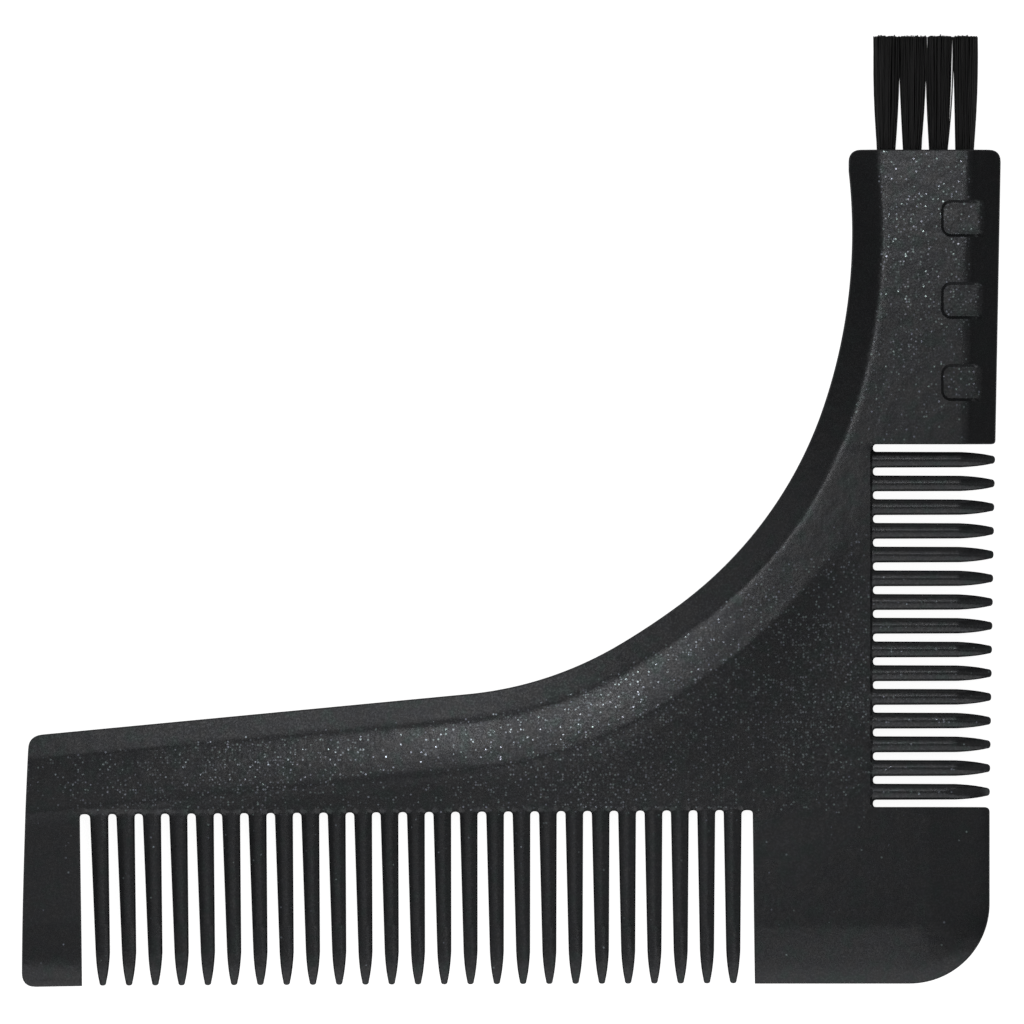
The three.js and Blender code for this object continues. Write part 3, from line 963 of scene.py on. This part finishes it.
def filament_path(root, tip, length, bow):
    """Path of one filament from inside its hole at root to its cut end at tip."""
    path = []
    for step in range(FILAMENT_STEPS + 1):
        t = step / FILAMENT_STEPS
        start = HANDLE_TOP_Y - HOLE_DEPTH + FILAMENT_START
        y = start + (HOLE_DEPTH - FILAMENT_START + length) * t
        free = max(0, (y - HANDLE_TOP_Y) / length)
        spread = 1 - (1 - free) ** 2
        wave = bow * math.sin(math.pi * free)
        path.append((
            root[0] * (1 - spread) + tip[0] * spread + wave,
            y,
            root[1] * (1 - spread) + tip[1] * spread,
        ))
    return path


def tuft(index, x, draw):
    """One tuft of nylon filaments that flare from the hole to their cut ends."""
    bm = bmesh.new()
    half_x = TUFT_TIP_HALF_X[index - 1]
    shift_x = TUFT_TIP_SHIFT_X[index - 1]
    for k in range(FILAMENTS):
        radius = math.sqrt((k + 0.5) / FILAMENTS)
        angle = GOLDEN_ANGLE * k
        across, deep = radius * math.cos(angle), radius * math.sin(angle)
        root = (x + across * TUFT_ROOT_RADIUS, MID_Z + deep * TUFT_ROOT_RADIUS)
        tip_x = x + across * half_x + shift_x + draw.uniform(-TIP_JITTER_X, TIP_JITTER_X)
        tip_z = MID_Z + deep * TUFT_TIP_HALF_Z + draw.uniform(-TIP_JITTER_Z, TIP_JITTER_Z)
        length = TUFT_FREE_LENGTH + draw.gauss(0, LENGTH_SPREAD)
        path = filament_path(root, (tip_x, tip_z), length, draw.uniform(-BOW, BOW))
        tube(bm, path, FILAMENT_RADIUS, FILAMENT_SIDES)
    name = f"filaments_{index}"
    mesh = finished_mesh(bm, name)
    smooth(mesh, FILAMENT_SHARP)
    return link(name, mesh)


# ---------------------------------------------------------------- materials


class Nodes:
    """Short calls for building the node tree of a material or a world."""

    def __init__(self, owner):
        owner.use_nodes = True
        self.owner = owner
        self.tree = owner.node_tree
        self.tree.nodes.clear()

    def add(self, kind, **settings):
        node = self.tree.nodes.new(kind)
        for key, value in settings.items():
            setattr(node, key, value)
        return node

    def feed(self, socket, value):
        """Links a socket to another one, or sets its value."""
        if isinstance(value, bpy.types.NodeSocket):
            self.tree.links.new(value, socket)
        else:
            socket.default_value = value

    def coordinates(self, kind="Object"):
        return self.add("ShaderNodeTexCoord").outputs[kind]

    def axis(self, vector, name):
        """One coordinate of a vector."""
        node = self.add("ShaderNodeSeparateXYZ")
        self.feed(node.inputs[0], vector)
        return node.outputs[name]

    def channels(self, colour):
        """The red, green and blue of a colour."""
        node = self.add("ShaderNodeSeparateColor")
        self.feed(node.inputs[0], colour)
        return node.outputs

    def noise(self, vector, scale, detail=2.0, roughness=0.5, output="Fac"):
        node = self.add("ShaderNodeTexNoise")
        self.feed(node.inputs["Vector"], vector)
        node.inputs["Scale"].default_value = scale
        node.inputs["Detail"].default_value = detail
        node.inputs["Roughness"].default_value = roughness
        return node.outputs[output]

    def math(self, operation, first, second=0.0):
        node = self.add("ShaderNodeMath", operation=operation)
        self.feed(node.inputs[0], first)
        self.feed(node.inputs[1], second)
        return node.outputs[0]

    def span(self, value, low, high, to_low=0.0, to_high=1.0):
        """Maps low to to_low and high to to_high, and holds still beyond them."""
        node = self.add("ShaderNodeMapRange")
        self.feed(node.inputs["Value"], value)
        node.inputs["From Min"].default_value = low
        node.inputs["From Max"].default_value = high
        node.inputs["To Min"].default_value = to_low
        node.inputs["To Max"].default_value = to_high
        return node.outputs["Result"]

    def mix(self, factor, first, second):
        node = self.add("ShaderNodeMix", data_type="RGBA")
        self.feed(node.inputs["Factor"], factor)
        self.feed(node.inputs["A"], first)
        self.feed(node.inputs["B"], second)
        return node.outputs["Result"]

    def vector(self, operation, first, second=(0.0, 0.0, 0.0), output="Vector"):
        node = self.add("ShaderNodeVectorMath", operation=operation)
        self.feed(node.inputs[0], first)
        self.feed(node.inputs[1], second)
        return node.outputs[output]

    def scaled(self, vector, factor):
        node = self.add("ShaderNodeVectorMath", operation="SCALE")
        self.feed(node.inputs[0], vector)
        self.feed(node.inputs["Scale"], factor)
        return node.outputs[0]

    def bump(self, height, strength, distance, normal=None):
        node = self.add("ShaderNodeBump")
        self.feed(node.inputs["Height"], height)
        node.inputs["Strength"].default_value = strength
        node.inputs["Distance"].default_value = distance
        if normal is not None:
            self.feed(node.inputs["Normal"], normal)
        return node.outputs["Normal"]

    def finish(self, **sockets):
        """Ends a material in a Principled shader with these inputs."""
        shader = self.add("ShaderNodeBsdfPrincipled")
        for name, value in sockets.items():
            self.feed(shader.inputs[name.replace("_", " ")], value)
        output = self.add("ShaderNodeOutputMaterial")
        self.tree.links.new(shader.outputs[0], output.inputs["Surface"])
        return self.owner


def cloud(n, place):
    """How much metal has gathered at each place, from 0 to 1, in soft patches."""
    gathered = 0.0
    for (x, y), radius in CLOUDS:
        centre = (x * MM, y * MM, MID_Z * MM)
        near = n.span(n.vector("DISTANCE", place, centre, output="Value"), radius * MM, 0.0)
        gathered = n.math("MAXIMUM", near, gathered)
    patches = n.span(n.noise(place, CLOUD_PATCH_SCALE), *NOISE_MIDDLE, *CLOUD_PATCHES)
    low, high = CLOUD_FLOOR
    above = n.span(n.axis(place, "Y"), low * MM, high * MM, CLOUD_BELOW_FLOOR, 1.0)
    return n.math("MULTIPLY", n.math("MULTIPLY", gathered, patches), above)


def level_faces(n):
    """1 on faces that lie nearly level, where the flakes settled, down to 0 on bevels."""
    return n.span(n.math("ABSOLUTE", n.axis(n.coordinates("Normal"), "Z")), *FACE_TILT)


def specks(n, place, chance):
    """Sparse flat flakes: their mask, tint and surface direction."""
    cells = n.add("ShaderNodeTexVoronoi", feature="F1")
    n.feed(cells.inputs["Vector"], place)
    cells.inputs["Scale"].default_value = SPECK_SCALE
    draw = n.channels(cells.outputs["Color"])
    chosen = n.math("GREATER_THAN", draw[0], n.math("SUBTRACT", 1.0, chance))
    core = n.span(cells.outputs["Distance"], *SPECK_CORE)
    bright = n.math("POWER", draw[1], SPECK_POWER)
    mask = n.math("MULTIPLY", n.math("MULTIPLY", chosen, core), bright)
    tint = n.mix(draw[2], SPECK_GREEN, n.mix(draw[0], SPECK_LILAC, SPECK_BLUE))
    lean = n.vector("SUBTRACT", cells.outputs["Color"], CELL_MIDDLE)
    upright = n.add("ShaderNodeNewGeometry").outputs["Normal"]
    tilted = n.vector("ADD", upright, n.scaled(lean, SPECK_TILT))
    return mask, n.mix(1.0 - SPECK_SHINE, tint, BLACK), n.vector("NORMALIZE", tilted)


def powder(n, place):
    """Fine metal powder, as a dense uneven grain: how strong it is, and its tint."""
    grain = n.noise(place, POWDER_SCALE, POWDER_DETAIL, POWDER_ROUGHNESS)
    strength = n.math("POWER", n.span(grain, *POWDER_SPAN), POWDER_POWER)
    hues = n.channels(n.noise(place, POWDER_HUE_SCALE, output="Color"))
    lilac = n.mix(n.span(hues[0], *POWDER_LILAC_SPAN), POWDER_LILAC, POWDER_PALE)
    return strength, n.mix(n.span(hues[1], *POWDER_GREEN_SPAN), lilac, POWDER_GREEN)


def powder_gloss(n, strength, gathered):
    """Specular level of the powder's grain, more uneven where the metal has gathered."""
    plain = n.span(strength, 0.0, 1.0, *POWDER_GLOSS_PLAIN)
    dense = n.span(strength, 0.0, 1.0, *POWDER_GLOSS_GATHERED)
    rest = n.math("SUBTRACT", 1.0, gathered)
    return n.math("ADD", n.math("MULTIPLY", dense, gathered), n.math("MULTIPLY", plain, rest))


def plastic_relief(n, place):
    """Surface direction of the moulded plastic: slow waves, fine grain and scratches."""
    grain = n.noise(place, GRAIN_SCALE)
    scratch_place = n.vector("MULTIPLY", place, SCRATCH_STRETCH)
    scratches = n.noise(scratch_place, 1.0, SCRATCH_DETAIL)
    relief = n.math("ADD", n.math("MULTIPLY", grain, GRAIN_SHARE),
                    n.math("MULTIPLY", scratches, SCRATCH_SHARE))
    waves = n.bump(n.noise(place, WAVE_SCALE), RELIEF_STRENGTH, WAVE_HEIGHT)
    return n.bump(relief, RELIEF_STRENGTH, GRAIN_HEIGHT, waves)


def plastic_material():
    """Black satin plastic with fine metal powder, flakes and faint scratches."""
    n = Nodes(bpy.data.materials.new("flecked_black_plastic"))
    place = n.coordinates()
    gathered = cloud(n, place)
    strength, powder_tint = powder(n, place)
    gloss = powder_gloss(n, strength, gathered)
    chance = n.math("MULTIPLY", n.span(gathered, 0.0, 1.0, *SPECK_CHANCE), level_faces(n))
    speck, speck_tint, speck_normal = specks(n, place, chance)

    mottle = n.noise(place, MOTTLE_SCALE, MOTTLE_DETAIL)
    colour = n.mix(speck, n.mix(mottle, *PLASTIC_COLOURS), speck_tint)
    normal = n.mix(speck, plastic_relief(n, place), speck_normal)
    satin = n.span(n.noise(place, SATIN_SCALE), *NOISE_MIDDLE, *SATIN_ROUGHNESS)
    roughness = n.math("MULTIPLY", satin, n.span(speck, 0.0, 1.0, 1.0, SPECK_ROUGHNESS))
    return n.finish(Base_Color=colour, Metallic=speck, Roughness=roughness, Normal=normal,
                    IOR=PLASTIC_IOR, Specular_IOR_Level=gloss, Specular_Tint=powder_tint)


def drawn_material(name, stretch, colours, roughness, relief, **sockets):
    """A material with fine lines along one direction, as on wire and filament."""
    n = Nodes(bpy.data.materials.new(name))
    lines = n.noise(n.vector("MULTIPLY", n.coordinates(), stretch), 1.0)
    return n.finish(
        Base_Color=n.mix(lines, *colours),
        Roughness=n.span(lines, *NOISE_MIDDLE, *roughness),
        Normal=n.bump(lines, relief, LINE_HEIGHT),
        **sockets,
    )


def nylon_material():
    """Black nylon filament, with streaks along each filament."""
    return drawn_material("black_nylon", NYLON_STRETCH, NYLON_COLOURS, NYLON_ROUGHNESS,
                          NYLON_RELIEF)


def brass_material():
    """Drawn brass wire with fine lines."""
    return drawn_material("drawn_brass", BRASS_STRETCH, BRASS_COLOURS, BRASS_ROUGHNESS,
                          BRASS_RELIEF, Metallic=1.0)


def floor_material():
    """Pale backdrop that stays white, with only a faint contact shadow."""
    n = Nodes(bpy.data.materials.new("pale_backdrop"))
    grain = n.noise(n.coordinates(), FLOOR_GRAIN_SCALE)
    shader = n.add("ShaderNodeBsdfDiffuse")
    n.feed(shader.inputs["Color"], n.mix(grain, *FLOOR_COLOURS))
    seen = n.add("ShaderNodeLightPath").outputs["Is Camera Ray"]
    glow = n.add("ShaderNodeEmission")
    n.feed(glow.inputs["Strength"], n.math("MULTIPLY", seen, FLOOR_GLOW))
    both = n.add("ShaderNodeAddShader")
    n.feed(both.inputs[0], shader.outputs[0])
    n.feed(both.inputs[1], glow.outputs[0])
    output = n.add("ShaderNodeOutputMaterial")
    n.feed(output.inputs["Surface"], both.outputs[0])
    return n.owner


# ---------------------------------------------------------------- stage


def floor():
    """A wide level floor under the comb."""
    bm = bmesh.new()
    half = FLOOR_SIZE / 2
    corners = [(-half, -half), (half, -half), (half, half), (-half, half)]
    bm.faces.new([bm.verts.new((x, y, 0)) for x, y in corners])
    made = link("floor", finished_mesh(bm, "floor"))
    made.data.materials.append(floor_material())
    return made


def sky():
    """Studio surroundings: pale low down, dimmer to the front and back, dark above."""
    world = bpy.data.worlds.new("studio")
    bpy.context.scene.world = world
    n = Nodes(world)
    direction = n.coordinates("Generated")
    high = n.span(n.axis(direction, "Z"), *SKY_FADE)
    sideways = n.math("ABSOLUTE", n.axis(direction, "Y"))
    level = n.span(sideways, *SKY_DIM_SIDES, SKY_HORIZON, SKY_HORIZON * SKY_DIM)
    low = n.math("MULTIPLY", n.math("SUBTRACT", 1.0, high), level)
    background = n.add("ShaderNodeBackground")
    n.feed(background.inputs["Strength"], n.math("ADD", low, SKY_ZENITH))
    output = n.add("ShaderNodeOutputWorld")
    n.feed(output.inputs["Surface"], background.outputs[0])


def softbox(name, place, aim, size, radiance):
    """A rectangular area light. Radiance is what its face shows, whatever its size."""
    data = bpy.data.lights.new(name, "AREA")
    data.shape = "RECTANGLE"
    data.size, data.size_y = size
    data.energy = radiance * math.pi * size[0] * size[1]
    made = link(name, data)
    made.location = place
    made.rotation_mode = "QUATERNION"
    made.rotation_quaternion = (Vector(aim) - Vector(place)).to_track_quat("-Z", "Y")


def camera():
    """Straight down on the comb, with the photograph's framing."""
    data = bpy.data.cameras.new("camera")
    data.sensor_width = SENSOR
    data.lens = SENSOR * CAMERA_DISTANCE / VIEW_WIDTH
    data.clip_end = CAMERA_CLIP_END
    made = link("camera", data)
    made.location = (*CAMERA_CENTRE, MID_Z * MM + CAMERA_DISTANCE)
    bpy.context.scene.camera = made


def stage():
    """The floor, the surroundings, the lights and the camera."""
    bpy.context.scene.view_settings.view_transform = "Standard"
    floor()
    sky()
    for row in SOFTBOXES:
        softbox(*row)
    camera()


# ---------------------------------------------------------------- comb


def dress(piece, material):
    """Puts one material on a whole piece."""
    piece.data.materials.clear()
    piece.data.materials.append(material)


def comb():
    """The moulding, in place of the CAD's plain body."""
    body = moulding()
    dress(body, plastic_material())
    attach(body, "root")
    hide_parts("comb_body")


def brush():
    """The filaments, in place of the CAD's tufts, and brass for its tuft anchors."""
    nylon = nylon_material()
    brass = brass_material()
    draw = random.Random(FILAMENT_SEED)
    for index, x in enumerate(TUFT_XS, 1):
        filaments = tuft(index, x, draw)
        dress(filaments, nylon)
        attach(filaments, "root")
        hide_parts(f"bristle_tuft_{index}")
        dress(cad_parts[f"tuft_anchor_{index}"], brass)


comb()
brush()
stage()
